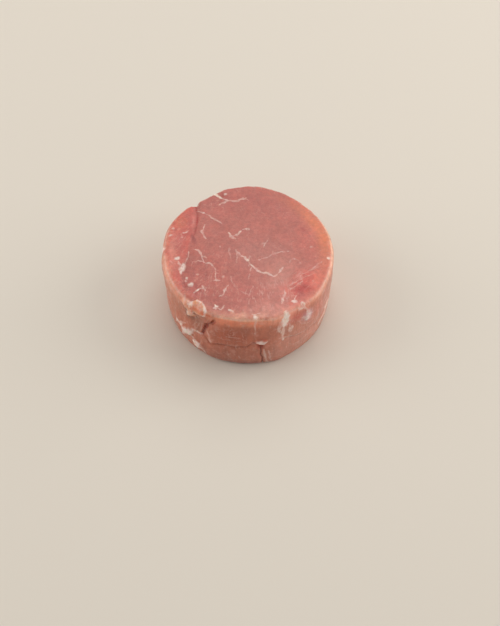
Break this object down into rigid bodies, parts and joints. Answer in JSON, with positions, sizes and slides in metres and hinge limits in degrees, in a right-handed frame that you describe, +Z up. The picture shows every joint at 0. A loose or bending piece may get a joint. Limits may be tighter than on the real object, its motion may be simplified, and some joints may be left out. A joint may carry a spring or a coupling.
{
  "type": "raw veal medallion",
  "caption": "Thick round slice of raw lean meat standing on its cut face, with a seam across the top, fine fat marbling and a creased side wall with scraps of fat.",
  "frame": {"origin": "middle of the outline seen from above, on the flat lower cut face that the medallion rests on", "axes": "+Z up through the thickness, +X to the right and +Y away from the viewer of the picture"},
  "size_m": [0.0754, 0.079, 0.0305],
  "materials": {
    "raw_veal": "moist satin raw meat, rosy pink with pale fat"
  },
  "bodies": {
    "root": {"veal_medallion": "raw_veal"}
  },
  "joints": []
}
